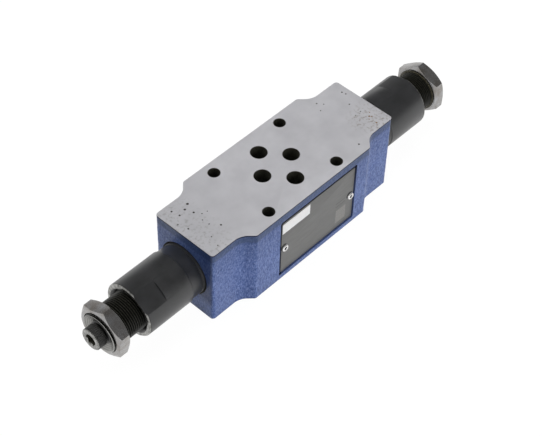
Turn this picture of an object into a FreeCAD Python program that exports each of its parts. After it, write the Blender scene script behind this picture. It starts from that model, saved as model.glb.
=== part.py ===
"""Twin relief sandwich valve, size 6 pattern, with a screw adjuster at each end.

Millimetres. The origin is the centre of the port pattern on the bottom mounting face.
+Z goes up to the top mounting face, +X to the B side and +Y to the P port.
"""
import FreeCAD, Part
import math
import os

V = FreeCAD.Vector

# Small clearances
RUNNING_FIT = 0.03
THREAD_FIT = 0.03
SEAL_FIT = 0.01

# Body block: length along X, width along Y, height of the stack along Z
BODY_LENGTH = 110.0
BODY_WIDTH = 42.0
BODY_HEIGHT = 40.0
BODY_SHIFT = 0.5
WAIST_LENGTH = 69.0
END_WIDTH = 32.5
CORNER_R = 1.5
WAIST_R = 7.0

# Port pattern, from the centre of the pattern
PORT_D = 7.5
PORTS = {"p": (0.0, 10.4), "a": (-8.8, 0.0), "b": (8.7, 0.0), "t": (0.0, -10.4)}
BOLT_D = 5.5
BOLT_A_X = -21.5
BOLT_A_PITCH = 31.0
BOLT_B_X = 19.0
BOLT_B_PITCH = 32.5

# Seals of the bottom face, pressed flat in their counterbores
SEAL_BORE_D = 12.7
SEAL_BORE_DEPTH = 1.3
SEAL_WIDTH = 2.0

# Stepped bore from each end, as distances from the body's middle plane
AXIS_HEIGHT = BODY_HEIGHT / 2
INNER_BORE_D = 9.0
INNER_BORE_START = 4.0
SEAT_FLOOR = 20.0
CARTRIDGE_BORE_D = 20.0
THREAD_DEPTH = 13.0
SLEEVE_THREAD_D = 24.0
MOUTH_CHAMFER = 0.8

# Tank gallery beside the bores
GALLERY_D = 3.8
GALLERY_Y = -9.4
GALLERY_REACH = 28.0

# Seat bush
BUSH_LENGTH = 14.0
SEAT_D = 7.0
SEAT_LENGTH = 4.0
BUSH_BORE_D = 14.0
BUSH_GROOVE_WIDTH = 4.5
BUSH_GROOVE_DEPTH = 1.0
BUSH_HOLE_D = 3.0
BUSH_HOLES = 4
BUSH_SEAL_OFFSET = 1.0
BUSH_SEAL_SECTION = 1.2
BUSH_SEAL_SLOT = 1.6

# Poppet
POPPET_GUIDE_LENGTH = 5.2
POPPET_GUIDE_LEAD = 7.0
POPPET_FLAT_FROM_AXIS = 2.4
POPPET_NECK_D = 4.4
POPPET_CONE_D = 10.0
POPPET_COLLAR_D = 11.6
POPPET_COLLAR_LENGTH = 1.5
POPPET_STEM_D = 6.6
POPPET_STEM_LENGTH = 9.0

# Relief spring
SPRING_MEAN_D = 9.0
SPRING_WIRE_D = 1.6
SPRING_TURNS = 8.5
SPRING_END_GAP = 0.01

# Spring plate, a piston that seals the spring chamber
CHAMBER_D = 13.0
PLATE_SPIGOT_D = 6.6
PLATE_SPIGOT_LENGTH = 6.0
PLATE_COLLAR_D = 11.2
PLATE_COLLAR_LENGTH = 2.0
PLATE_LENGTH = 10.0
PLATE_SEAL_SECTION = 1.4
PLATE_SEAL_SLOT = 1.9

# Sleeve
SLEEVE_D = 25.0
SLEEVE_NECK = 6.8
SLEEVE_SHOULDER_GAP = 0.05
SLEEVE_CHAMFER = 0.5
SLEEVE_MOUTH_DEPTH = 1.57
SLEEVE_SEAL_SECTION = 1.6
SLEEVE_SEAL_SLOT = 2.2
SLEEVE_SEAL_OFFSET = 3.0
FLAT_LENGTH = 11.0
FLAT_ACROSS = 23.0

# End plug with its fine outside thread and the conical dish in its end
PLUG_THREAD_D = 18.0
PLUG_LENGTH = 30.0
PLUG_CHAMFER = 0.25
DISH_D = 17.2
DISH_FLOOR_D = 11.2
DISH_DEPTH = 3.3
PLUG_SEAL_SECTION = 1.5
PLUG_SEAL_SLOT = 2.0
PLUG_SEAL_OFFSET = 3.0
SCREW_THREAD_LENGTH = 15.0
SCREW_CLEAR_D = 6.6

# Lock nut and the ring in its back face
NUT_ACROSS = 22.0
NUT_THICKNESS = 6.0
NUT_CHAMFER_DEPTH = 1.15
NUT_CHAMFER_D = 21.4
NUT_RING_WALL = 1.0
NUT_RING_DEPTH = 1.2

# Adjusting screw and its jam ring
SCREW_D = 6.0
SCREW_HEAD_D = 10.0
SCREW_HEAD_LENGTH = 4.6
SCREW_LENGTH = 40.0
SCREW_HEAD_CHAMFER = 0.4
SCREW_SOCKET = 5.0
SCREW_SOCKET_DEPTH = 2.6
JAM_RING_D = 10.8
JAM_RING_LENGTH = 2.2
JAM_RING_CHAMFER = 0.25

# Name plate, its rivets and its blank label, on the T side of the body
NAME_PLATE_LENGTH = 45.3
NAME_PLATE_HEIGHT = 30.4
NAME_PLATE_THICKNESS = 0.5
NAME_PLATE_LEFT = -18.2
NAME_PLATE_DROP = 2.0
NAME_PLATE_CORNER_R = 0.8
POCKET_DEPTH = 1.2
POCKET_MARGIN = 0.3
POCKET_LEFT_MARGIN = 1.6
POCKET_TOP_MARGIN = 2.3
RIVET_XS = (-16.0, 25.3)
RIVET_DROP = 3.0
RIVET_HEAD_D = 3.4
RIVET_HEAD_HEIGHT = 0.7
RIVET_SHANK_D = 1.8
RIVET_SHANK_LENGTH = 4.0
LABEL_LENGTH = 16.6
LABEL_HEIGHT = 5.7
LABEL_THICKNESS = 0.12
LABEL_INSET = 0.3
LABEL_DROP = 0.8

# How each end is set: how far the sleeve and the plug stand out from the end of the body, how far
# the back of the nut lies behind the plug's front and the screw stands proud of it, and the turn of
# the wrench flats and of the nut corners about the valve axis. Zero points along +Y and ninety up.
SIDES = {
    "a": {"sign": -1, "sleeve": 31.0, "plug": 47.1, "nut_behind": 6.85, "screw_proud": 4.2,
          "flat_turn": 127.5, "nut_turn": 38.5},
    "b": {"sign": 1, "sleeve": 29.9, "plug": 44.2, "nut_behind": 5.65, "screw_proud": 3.6,
          "flat_turn": 77.0, "nut_turn": 24.0},
}

# Places worked out from the sizes above
HALF_LENGTH = BODY_LENGTH / 2
THREAD_FLOOR = HALF_LENGTH - THREAD_DEPTH
BUSH_END = SEAT_FLOOR + BUSH_LENGTH
SEAT_EDGE = SEAT_FLOOR + SEAT_LENGTH
CONE_LENGTH = (POPPET_CONE_D - POPPET_NECK_D) / 2
CONE_START = SEAT_EDGE - (SEAT_D - POPPET_NECK_D) / 2 + RUNNING_FIT
CONE_END = CONE_START + CONE_LENGTH
POPPET_SHOULDER = CONE_END + POPPET_COLLAR_LENGTH
for setting in SIDES.values():
    setting["sleeve_front"] = HALF_LENGTH + setting["sleeve"]
    setting["plug_front"] = HALF_LENGTH + setting["plug"]
    setting["plug_start"] = setting["plug_front"] - PLUG_LENGTH
    setting["dish_floor"] = setting["plug_front"] - DISH_DEPTH
    setting["nut_start"] = setting["plug_front"] - setting["nut_behind"]
    setting["screw_front"] = setting["plug_front"] + setting["screw_proud"]
    setting["plate_back"] = setting["screw_front"] - SCREW_LENGTH
    setting["spring_stop"] = setting["plate_back"] - PLATE_LENGTH
PLUG_BORE_START = min(setting["plug_start"] for setting in SIDES.values())


def turned(profile):
    """Solid of revolution about X from (distance, radius) points."""
    points = [V(x, radius, 0) for x, radius in profile]
    face = Part.Face(Part.makePolygon(points + [points[0]]))
    return face.revolve(V(0, 0, 0), V(1, 0, 0), 360)


def rod(start, stop, diameter):
    """Round bar along X between two distances."""
    return Part.makeCylinder(diameter / 2, stop - start, V(start, 0, 0), V(1, 0, 0))


def hexagon_bar(start, stop, across, turn):
    """Hexagon bar along X with one corner at the given turn."""
    radius = across / math.sqrt(3)
    corners = []
    for corner in range(7):
        angle = math.radians(turn + 60 * corner)
        corners.append(V(start, radius * math.cos(angle), radius * math.sin(angle)))
    return Part.Face(Part.makePolygon(corners)).extrude(V(stop - start, 0, 0))


def seal_ring(middle, inner_d, outer_d):
    """Round seal ring about X that fills the gap between two diameters."""
    centre_r = (inner_d + outer_d) / 4
    section_r = (outer_d - inner_d) / 4 - SEAL_FIT
    return Part.makeTorus(centre_r, section_r, V(middle, 0, 0), V(1, 0, 0))


def to_side(shape, side):
    """Turn a piece made along +X to its own side of the body and lift it to the valve axis."""
    placed = shape.copy()
    if SIDES[side]["sign"] < 0:
        placed.rotate(V(0, 0, 0), V(0, 0, 1), 180)
    placed.translate(V(BODY_SHIFT, 0, AXIS_HEIGHT))
    return placed


def local_turn(turn, side):
    """The same turn as seen before the piece is turned to its side."""
    if SIDES[side]["sign"] < 0:
        return 180 - turn
    return turn


def body_outline():
    """Block with a wide middle, sloping shoulders and rounded upright corners."""
    half_width = BODY_WIDTH / 2
    half_end = END_WIDTH / 2
    shoulder = WAIST_LENGTH / 2
    foot = shoulder + half_width - half_end
    quarter = [(HALF_LENGTH, half_end), (foot, half_end), (shoulder, half_width)]
    outline = list(quarter)
    outline += [(-x, y) for x, y in reversed(quarter)]
    outline += [(-x, -y) for x, y in quarter]
    outline += [(x, -y) for x, y in reversed(quarter)]
    points = [V(x + BODY_SHIFT, y, 0) for x, y in outline]
    block = Part.Face(Part.makePolygon(points + [points[0]])).extrude(V(0, 0, BODY_HEIGHT))
    hollow_edges = []
    corner_edges = []
    for edge in block.Edges:
        if edge.BoundBox.ZLength < BODY_HEIGHT / 2:
            continue
        at_foot = abs(abs(edge.BoundBox.Center.x - BODY_SHIFT) - foot) < CORNER_R / 10
        if at_foot:
            hollow_edges.append(edge)
        else:
            corner_edges.append(edge)
    block = block.makeFillet(WAIST_R, hollow_edges)
    upright = []
    for edge in block.Edges:
        for corner in corner_edges:
            same_x = abs(edge.BoundBox.Center.x - corner.BoundBox.Center.x) < CORNER_R / 10
            same_y = abs(edge.BoundBox.Center.y - corner.BoundBox.Center.y) < CORNER_R / 10
            if same_x and same_y and edge.BoundBox.ZLength > BODY_HEIGHT / 2:
                upright.append(edge)
    return block.makeFillet(CORNER_R, upright)


def stepped_bore():
    """The bore that takes one cartridge, cut from the end face inwards."""
    inner_r = INNER_BORE_D / 2
    cartridge_r = CARTRIDGE_BORE_D / 2
    thread_r = SLEEVE_THREAD_D / 2 + THREAD_FIT
    return turned([
        (INNER_BORE_START - inner_r / 2, 0),
        (INNER_BORE_START, inner_r),
        (SEAT_FLOOR, inner_r),
        (SEAT_FLOOR, cartridge_r),
        (THREAD_FLOOR, cartridge_r),
        (THREAD_FLOOR, thread_r),
        (HALF_LENGTH - MOUTH_CHAMFER, thread_r),
        (HALF_LENGTH, thread_r + MOUTH_CHAMFER),
        (HALF_LENGTH + MOUTH_CHAMFER, thread_r + MOUTH_CHAMFER),
        (HALF_LENGTH + MOUTH_CHAMFER, 0),
    ])


def drilled(x, y, diameter, bottom, top):
    """Upright hole at one place of the pattern."""
    return Part.makeCylinder(diameter / 2, top - bottom, V(x, y, bottom))


def rounded_plate(left, bottom, length, height, thickness, corner_r, back_y):
    """Flat plate on the T side with rounded corners, growing outwards from its back."""
    plate = Part.makeBox(length, thickness, height, V(left, back_y - thickness, bottom))
    across = [edge for edge in plate.Edges if edge.BoundBox.YLength > thickness / 2]
    return plate.makeFillet(corner_r, across)


def rivet_pins(diameter, back_y, front_y):
    """One upright cylinder across the plate for each rivet."""
    pins = []
    for x in RIVET_XS:
        start = V(x, back_y, AXIS_HEIGHT - RIVET_DROP)
        pins.append(Part.makeCylinder(diameter / 2, back_y - front_y, start, V(0, -1, 0)))
    return pins


FACE_Y = -BODY_WIDTH / 2
POCKET_FLOOR_Y = FACE_Y + POCKET_DEPTH
PLATE_FACE_Y = POCKET_FLOOR_Y - NAME_PLATE_THICKNESS
PLATE_BOTTOM = AXIS_HEIGHT - NAME_PLATE_DROP - NAME_PLATE_HEIGHT / 2


def valve_body():
    """Cast block with ports, bolt holes, stepped bores, tank gallery and plate pocket."""
    cuts = []
    for x, y in PORTS.values():
        cuts.append(drilled(x, y, PORT_D, 0, BODY_HEIGHT))
        cuts.append(drilled(x, y, SEAL_BORE_D, 0, SEAL_BORE_DEPTH))
    for x, pitch in ((BOLT_A_X, BOLT_A_PITCH), (BOLT_B_X, BOLT_B_PITCH)):
        for half in (-pitch / 2, pitch / 2):
            cuts.append(drilled(x, half, BOLT_D, 0, BODY_HEIGHT))
    for side in SIDES:
        cuts.append(to_side(stepped_bore(), side))
    gallery = Part.makeCylinder(GALLERY_D / 2, 2 * GALLERY_REACH,
                                V(BODY_SHIFT - GALLERY_REACH, GALLERY_Y, AXIS_HEIGHT), V(1, 0, 0))
    cuts.append(gallery)
    cuts.append(rounded_plate(NAME_PLATE_LEFT - POCKET_LEFT_MARGIN, PLATE_BOTTOM - POCKET_MARGIN,
                              NAME_PLATE_LENGTH + POCKET_LEFT_MARGIN + POCKET_MARGIN,
                              NAME_PLATE_HEIGHT + POCKET_TOP_MARGIN + POCKET_MARGIN, POCKET_DEPTH,
                              NAME_PLATE_CORNER_R + POCKET_MARGIN, POCKET_FLOOR_Y))
    hole_floor = POCKET_FLOOR_Y + RIVET_SHANK_LENGTH
    cuts += rivet_pins(RIVET_SHANK_D + 2 * RUNNING_FIT, hole_floor, POCKET_FLOOR_Y)
    return body_outline().cut(cuts)


def port_seal(port):
    """Seal ring squeezed to the depth of its counterbore."""
    x, y = PORTS[port]
    half_height = SEAL_BORE_DEPTH / 2 - SEAL_FIT
    outer = SEAL_BORE_D / 2 - RUNNING_FIT - half_height
    inner = SEAL_BORE_D / 2 - RUNNING_FIT - SEAL_WIDTH + half_height
    low = SEAL_BORE_DEPTH / 2 - half_height
    mid = SEAL_BORE_DEPTH / 2
    high = SEAL_BORE_DEPTH / 2 + half_height
    edges = [
        Part.makeLine(V(inner, 0, low), V(outer, 0, low)),
        Part.Arc(V(outer, 0, low), V(outer + half_height, 0, mid), V(outer, 0, high)).toShape(),
        Part.makeLine(V(outer, 0, high), V(inner, 0, high)),
        Part.Arc(V(inner, 0, high), V(inner - half_height, 0, mid), V(inner, 0, low)).toShape(),
    ]
    ring = Part.Face(Part.Wire(edges)).revolve(V(0, 0, 0), V(0, 0, 1), 360)
    ring.translate(V(x, y, 0))
    return ring


def name_plate():
    """Sheet metal plate that lies sunk in the pocket, drilled for its rivets."""
    plate = rounded_plate(NAME_PLATE_LEFT, PLATE_BOTTOM, NAME_PLATE_LENGTH, NAME_PLATE_HEIGHT,
                          NAME_PLATE_THICKNESS, NAME_PLATE_CORNER_R, POCKET_FLOOR_Y)
    return plate.cut(rivet_pins(RIVET_SHANK_D + 2 * RUNNING_FIT, POCKET_FLOOR_Y, PLATE_FACE_Y))


def plate_rivets():
    """Two drive rivets with domed heads, one solid each."""
    shanks = rivet_pins(RIVET_SHANK_D, POCKET_FLOOR_Y + RIVET_SHANK_LENGTH - RUNNING_FIT,
                        PLATE_FACE_Y)
    head_r = RIVET_HEAD_D / 2
    dome_r = (head_r ** 2 + RIVET_HEAD_HEIGHT ** 2) / (2 * RIVET_HEAD_HEIGHT)
    rivets = []
    for x, shank in zip(RIVET_XS, shanks):
        seat = V(x, PLATE_FACE_Y, AXIS_HEIGHT - RIVET_DROP)
        ball = Part.makeSphere(dome_r, seat + V(0, dome_r - RIVET_HEAD_HEIGHT, 0))
        head = ball.common(Part.makeCylinder(head_r, RIVET_HEAD_HEIGHT, seat, V(0, -1, 0)))
        rivets.append(head.fuse(shank).removeSplitter())
    return Part.makeCompound([rivet.Solids[0] for rivet in rivets])


def data_label():
    """Blank adhesive label near the upper corner of the name plate."""
    left = NAME_PLATE_LEFT + LABEL_INSET
    top = PLATE_BOTTOM + NAME_PLATE_HEIGHT - LABEL_DROP
    corner = V(left, PLATE_FACE_Y - LABEL_THICKNESS, top - LABEL_HEIGHT)
    return Part.makeBox(LABEL_LENGTH, LABEL_THICKNESS, LABEL_HEIGHT, corner)


def seat_bush():
    """Hardened bush with the seat edge, cross holes to the gallery and a seal groove."""
    outer = CARTRIDGE_BORE_D / 2 - RUNNING_FIT
    seal_floor = CARTRIDGE_BORE_D / 2 - BUSH_SEAL_SECTION
    seal_start = SEAT_FLOOR + BUSH_SEAL_OFFSET
    groove_floor = outer - BUSH_GROOVE_DEPTH
    groove_stop = SEAT_EDGE + BUSH_GROOVE_WIDTH
    bush = turned([
        (SEAT_FLOOR, SEAT_D / 2),
        (SEAT_FLOOR, outer),
        (seal_start, outer),
        (seal_start, seal_floor),
        (seal_start + BUSH_SEAL_SLOT, seal_floor),
        (seal_start + BUSH_SEAL_SLOT, outer),
        (SEAT_EDGE, outer),
        (SEAT_EDGE, groove_floor),
        (groove_stop, groove_floor),
        (groove_stop, outer),
        (BUSH_END, outer),
        (BUSH_END, BUSH_BORE_D / 2),
        (SEAT_EDGE, BUSH_BORE_D / 2),
        (SEAT_EDGE, SEAT_D / 2),
    ])
    middle = SEAT_EDGE + BUSH_GROOVE_WIDTH / 2
    holes = []
    for hole in range(BUSH_HOLES):
        angle = 2 * math.pi * hole / BUSH_HOLES
        direction = V(0, math.cos(angle), math.sin(angle))
        holes.append(Part.makeCylinder(BUSH_HOLE_D / 2, outer, V(middle, 0, 0), direction))
    return bush.cut(holes)


def seat_seal():
    middle = SEAT_FLOOR + BUSH_SEAL_OFFSET + BUSH_SEAL_SLOT / 2
    return seal_ring(middle, CARTRIDGE_BORE_D - 2 * BUSH_SEAL_SECTION, CARTRIDGE_BORE_D)


def poppet():
    """Cone that closes the seat, with a three-sided guide in front and a spring stem behind."""
    guide_r = SEAT_D / 2 - RUNNING_FIT
    guide_start = SEAT_EDGE - POPPET_GUIDE_LEAD
    guide_stop = guide_start + POPPET_GUIDE_LENGTH
    shape = turned([
        (guide_start, 0),
        (guide_start, guide_r),
        (guide_stop, guide_r),
        (guide_stop, POPPET_NECK_D / 2),
        (CONE_START, POPPET_NECK_D / 2),
        (CONE_END, POPPET_CONE_D / 2),
        (CONE_END, POPPET_COLLAR_D / 2),
        (POPPET_SHOULDER, POPPET_COLLAR_D / 2),
        (POPPET_SHOULDER, POPPET_STEM_D / 2),
        (POPPET_SHOULDER + POPPET_STEM_LENGTH, POPPET_STEM_D / 2),
        (POPPET_SHOULDER + POPPET_STEM_LENGTH, 0),
    ])
    cuts = []
    for side_of_guide in range(3):
        slab = Part.makeBox(POPPET_GUIDE_LENGTH, SEAT_D, SEAT_D,
                            V(guide_start, -SEAT_D / 2, POPPET_FLAT_FROM_AXIS))
        slab.rotate(V(0, 0, 0), V(1, 0, 0), 120 * side_of_guide)
        cuts.append(slab)
    return shape.cut(cuts)


def relief_spring(side):
    """Round wire coil with its ends ground flat."""
    spring_stop = SIDES[side]["spring_stop"]
    spring_length = spring_stop - POPPET_SHOULDER
    pitch = spring_length / SPRING_TURNS
    coil_length = spring_length + pitch
    helix = Part.makeHelix(pitch, coil_length, SPRING_MEAN_D / 2)
    section = Part.Wire(Part.makeCircle(SPRING_WIRE_D / 2, V(SPRING_MEAN_D / 2, 0, 0), V(0, 1, 0)))
    coil = Part.Wire(helix).makePipeShell([section], True, True)
    coil.translate(V(0, 0, -pitch / 2))
    coil.rotate(V(0, 0, 0), V(0, 1, 0), 90)
    coil.translate(V(POPPET_SHOULDER, 0, 0))
    room = rod(POPPET_SHOULDER + SPRING_END_GAP, spring_stop - SPRING_END_GAP,
               SPRING_MEAN_D + 2 * SPRING_WIRE_D)
    return coil.common(room)


def spring_plate(side):
    """Piston that the screw pushes against the spring."""
    spring_stop = SIDES[side]["spring_stop"]
    plate_back = SIDES[side]["plate_back"]
    piston_r = CHAMBER_D / 2 - RUNNING_FIT
    collar_stop = spring_stop + PLATE_COLLAR_LENGTH
    slot_start = (collar_stop + plate_back - PLATE_SEAL_SLOT) / 2
    slot_floor = CHAMBER_D / 2 - PLATE_SEAL_SECTION
    return turned([
        (spring_stop - PLATE_SPIGOT_LENGTH, 0),
        (spring_stop - PLATE_SPIGOT_LENGTH, PLATE_SPIGOT_D / 2),
        (spring_stop, PLATE_SPIGOT_D / 2),
        (spring_stop, PLATE_COLLAR_D / 2),
        (collar_stop, PLATE_COLLAR_D / 2),
        (collar_stop, piston_r),
        (slot_start, piston_r),
        (slot_start, slot_floor),
        (slot_start + PLATE_SEAL_SLOT, slot_floor),
        (slot_start + PLATE_SEAL_SLOT, piston_r),
        (plate_back, piston_r),
        (plate_back, 0),
    ])


def plate_seal(side):
    middle = (SIDES[side]["spring_stop"] + PLATE_COLLAR_LENGTH + SIDES[side]["plate_back"]) / 2
    return seal_ring(middle, CHAMBER_D - 2 * PLATE_SEAL_SECTION, CHAMBER_D)


def sleeve(side):
    """Turned sleeve: sealed nose, threaded neck, round barrel and two wrench flats."""
    nose_r = CARTRIDGE_BORE_D / 2 - RUNNING_FIT
    neck_r = SLEEVE_THREAD_D / 2
    barrel_r = SLEEVE_D / 2
    barrel_start = HALF_LENGTH + SLEEVE_NECK
    sleeve_front = SIDES[side]["sleeve_front"]
    seal_start = BUSH_END + SLEEVE_SEAL_OFFSET
    seal_floor = CARTRIDGE_BORE_D / 2 - SLEEVE_SEAL_SECTION
    thread_r = PLUG_THREAD_D / 2 + THREAD_FIT
    shape = turned([
        (BUSH_END, CHAMBER_D / 2),
        (BUSH_END, nose_r),
        (seal_start, nose_r),
        (seal_start, seal_floor),
        (seal_start + SLEEVE_SEAL_SLOT, seal_floor),
        (seal_start + SLEEVE_SEAL_SLOT, nose_r),
        (THREAD_FLOOR + SLEEVE_SHOULDER_GAP, nose_r),
        (THREAD_FLOOR + SLEEVE_SHOULDER_GAP, neck_r),
        (barrel_start, neck_r),
        (barrel_start, barrel_r - SLEEVE_CHAMFER),
        (barrel_start + SLEEVE_CHAMFER, barrel_r),
        (sleeve_front - SLEEVE_CHAMFER, barrel_r),
        (sleeve_front, barrel_r - SLEEVE_CHAMFER),
        (sleeve_front, thread_r + SLEEVE_MOUTH_DEPTH),
        (sleeve_front - SLEEVE_MOUTH_DEPTH, thread_r),
        (PLUG_BORE_START, thread_r),
        (PLUG_BORE_START, CHAMBER_D / 2),
    ])
    cuts = []
    for half_turn in (0, 180):
        slab = Part.makeBox(FLAT_LENGTH, SLEEVE_D, SLEEVE_D,
                            V(sleeve_front - FLAT_LENGTH, FLAT_ACROSS / 2, -SLEEVE_D / 2))
        slab.rotate(V(0, 0, 0), V(1, 0, 0), local_turn(SIDES[side]["flat_turn"], side) + half_turn)
        cuts.append(slab)
    return shape.cut(cuts)


def sleeve_seal():
    middle = BUSH_END + SLEEVE_SEAL_OFFSET + SLEEVE_SEAL_SLOT / 2
    return seal_ring(middle, CARTRIDGE_BORE_D - 2 * SLEEVE_SEAL_SECTION, CARTRIDGE_BORE_D)


def end_plug(side):
    """Threaded plug that closes the sleeve and carries the adjusting screw."""
    plug_start = SIDES[side]["plug_start"]
    plug_front = SIDES[side]["plug_front"]
    dish_floor = SIDES[side]["dish_floor"]
    outer = PLUG_THREAD_D / 2
    seal_start = plug_start + PLUG_SEAL_OFFSET
    seal_floor = outer + THREAD_FIT - PLUG_SEAL_SECTION
    screw_r = SCREW_D / 2 + THREAD_FIT
    thread_start = dish_floor - SCREW_THREAD_LENGTH
    return turned([
        (plug_start, SCREW_CLEAR_D / 2),
        (plug_start, outer),
        (seal_start, outer),
        (seal_start, seal_floor),
        (seal_start + PLUG_SEAL_SLOT, seal_floor),
        (seal_start + PLUG_SEAL_SLOT, outer),
        (plug_front - PLUG_CHAMFER, outer),
        (plug_front, outer - PLUG_CHAMFER),
        (plug_front, DISH_D / 2),
        (dish_floor, DISH_FLOOR_D / 2),
        (dish_floor, screw_r),
        (thread_start, screw_r),
        (thread_start, SCREW_CLEAR_D / 2),
    ])


def plug_seal(side):
    middle = SIDES[side]["plug_start"] + PLUG_SEAL_OFFSET + PLUG_SEAL_SLOT / 2
    outer_d = PLUG_THREAD_D + 2 * THREAD_FIT
    return seal_ring(middle, outer_d - 2 * PLUG_SEAL_SECTION, outer_d)


def lock_nut(side):
    """Thin hexagon nut, chamfered on both faces, with a recess for its ring."""
    nut_start = SIDES[side]["nut_start"]
    nut_stop = nut_start + NUT_THICKNESS
    turn = local_turn(SIDES[side]["nut_turn"], side)
    blank = hexagon_bar(nut_start, nut_stop, NUT_ACROSS, turn)
    corner_r = NUT_ACROSS / math.sqrt(3)
    lens = turned([
        (nut_start, 0),
        (nut_start, NUT_CHAMFER_D / 2),
        (nut_start + NUT_CHAMFER_DEPTH, corner_r),
        (nut_stop - NUT_CHAMFER_DEPTH, corner_r),
        (nut_stop, NUT_CHAMFER_D / 2),
        (nut_stop, 0),
    ])
    hole = rod(nut_start, nut_stop, PLUG_THREAD_D + 2 * THREAD_FIT)
    recess = rod(nut_start, nut_start + NUT_RING_DEPTH, PLUG_THREAD_D + 2 * NUT_RING_WALL)
    return blank.common(lens).cut([hole, recess])


def nut_ring(side):
    """Plastic ring in the back of the nut that grips the thread."""
    nut_start = SIDES[side]["nut_start"]
    inner = PLUG_THREAD_D / 2 + THREAD_FIT
    outer = PLUG_THREAD_D / 2 + NUT_RING_WALL - RUNNING_FIT
    stop = nut_start + NUT_RING_DEPTH - RUNNING_FIT
    return turned([(nut_start, inner), (nut_start, outer), (stop, outer), (stop, inner)])


def adjusting_screw(side):
    """Socket head screw that sets the spring."""
    head_r = SCREW_HEAD_D / 2
    tip = SIDES[side]["plate_back"]
    front = SIDES[side]["screw_front"]
    head_start = front - SCREW_HEAD_LENGTH
    shape = turned([
        (tip, 0),
        (tip, SCREW_D / 2),
        (head_start, SCREW_D / 2),
        (head_start, head_r),
        (front - SCREW_HEAD_CHAMFER, head_r),
        (front, head_r - SCREW_HEAD_CHAMFER),
        (front, 0),
    ])
    turn = local_turn(SIDES[side]["nut_turn"], side)
    return shape.cut(hexagon_bar(front - SCREW_SOCKET_DEPTH, front, SCREW_SOCKET, turn))


def jam_ring(side):
    """Round ring nut that locks the screw against the floor of the dish."""
    start = SIDES[side]["dish_floor"]
    stop = start + JAM_RING_LENGTH
    inner = SCREW_D / 2 + THREAD_FIT
    outer = JAM_RING_D / 2
    return turned([
        (start, inner),
        (start, outer),
        (stop - JAM_RING_CHAMFER, outer),
        (stop, outer - JAM_RING_CHAMFER),
        (stop, inner),
    ])


nodes = {
    "valve_body": valve_body(),
    "name_plate": name_plate(),
    "plate_rivets": plate_rivets(),
    "data_label": data_label(),
}
for port in PORTS:
    nodes["port_seal_" + port] = port_seal(port)
for side in SIDES:
    cartridge = {
        "seat_bush": seat_bush(),
        "seat_seal": seat_seal(),
        "poppet": poppet(),
        "relief_spring": relief_spring(side),
        "spring_plate": spring_plate(side),
        "plate_seal": plate_seal(side),
        "sleeve": sleeve(side),
        "sleeve_seal": sleeve_seal(),
        "end_plug": end_plug(side),
        "plug_seal": plug_seal(side),
        "lock_nut": lock_nut(side),
        "nut_ring": nut_ring(side),
        "adjusting_screw": adjusting_screw(side),
        "jam_ring": jam_ring(side),
    }
    for piece, shape in cartridge.items():
        nodes[piece + "_" + side] = to_side(shape, side)

os.makedirs("parts", exist_ok=True)
for node, shape in nodes.items():
    shape.exportStep(os.path.join("parts", node + ".step"))
    print(node, "solids", len(shape.Solids), "volume", round(shape.Volume, 2), "valid", shape.isValid())
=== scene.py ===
"""Looks of a twin relief sandwich valve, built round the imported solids.

Metres, in the row frame: the origin is the centre of the port pattern on the bottom face, +Z up,
+X to the B side and +Y to the P port. Turned parts are drawn along +X, as distances from the
middle of the block, and the A end's are then turned round to their own side.
"""
import math

import bmesh
import bpy
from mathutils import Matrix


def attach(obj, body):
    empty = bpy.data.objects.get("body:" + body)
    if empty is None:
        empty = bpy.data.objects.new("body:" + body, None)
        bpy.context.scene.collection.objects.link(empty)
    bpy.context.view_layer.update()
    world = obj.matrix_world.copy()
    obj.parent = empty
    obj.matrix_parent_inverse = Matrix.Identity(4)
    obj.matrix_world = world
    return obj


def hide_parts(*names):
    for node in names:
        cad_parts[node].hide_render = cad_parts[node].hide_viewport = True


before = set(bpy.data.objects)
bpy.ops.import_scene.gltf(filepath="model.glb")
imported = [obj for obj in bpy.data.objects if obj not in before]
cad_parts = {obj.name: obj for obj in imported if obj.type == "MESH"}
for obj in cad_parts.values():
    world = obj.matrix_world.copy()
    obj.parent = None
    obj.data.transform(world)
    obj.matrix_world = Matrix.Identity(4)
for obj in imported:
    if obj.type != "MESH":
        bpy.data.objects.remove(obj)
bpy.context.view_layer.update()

# Block
# Grey iron casting with a painted blue skin. The top and bottom are ground bare after painting,
# and the ports, stud holes and cartridge bores are drilled and left black with oil.
mm = 0.001
block_middle = 0.5 * mm
block_length = 110 * mm
block_width = 42 * mm
block_height = 40 * mm
waist = 34.5 * mm
end_width = 32.5 * mm
foot = waist + (block_width - end_width) / 2
axis_height = block_height / 2
block_face = block_length / 2
corner_r = 1.5 * mm
hollow_r = 7 * mm
offset_share = math.tan(math.radians(22.5))
rim = 0.16 * mm
grain_step = 0.55 * mm
cast_lumps = ((5.5 * mm, 0.16 * mm), (1.5 * mm, 0.13 * mm))


def pick(piece):
    """Makes the piece the only selected one and the active one."""
    bpy.ops.object.select_all(action="DESELECT")
    piece.select_set(True)
    bpy.context.view_layer.objects.active = piece


def smooth(piece, degrees):
    """Shades the piece smooth, except at edges sharper than the angle."""
    pick(piece)
    bpy.ops.object.shade_smooth_by_angle(angle=math.radians(degrees))


def settle(piece):
    """Applies the location, rotation and scale of the selected piece to its mesh."""
    bpy.ops.object.transform_apply(location=True, rotation=True, scale=True)
    return piece


def box(name, centre, size, rotation=(0, 0, 0)):
    bpy.ops.object.select_all(action="DESELECT")
    bpy.ops.mesh.primitive_cube_add(size=1, location=centre, scale=size, rotation=rotation)
    piece = bpy.context.object
    piece.name = name
    return settle(piece)


def cut_bar(name, centre, depth, radius, sides, rotation=(0, 0, 0)):
    """A straight bar whose ends, place and turn are given, used for holes and hexagons."""
    bpy.ops.object.select_all(action="DESELECT")
    bpy.ops.mesh.primitive_cylinder_add(vertices=sides, radius=radius, depth=depth,
                                        location=centre, rotation=rotation)
    piece = bpy.context.object
    piece.name = name
    return settle(piece)


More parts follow.
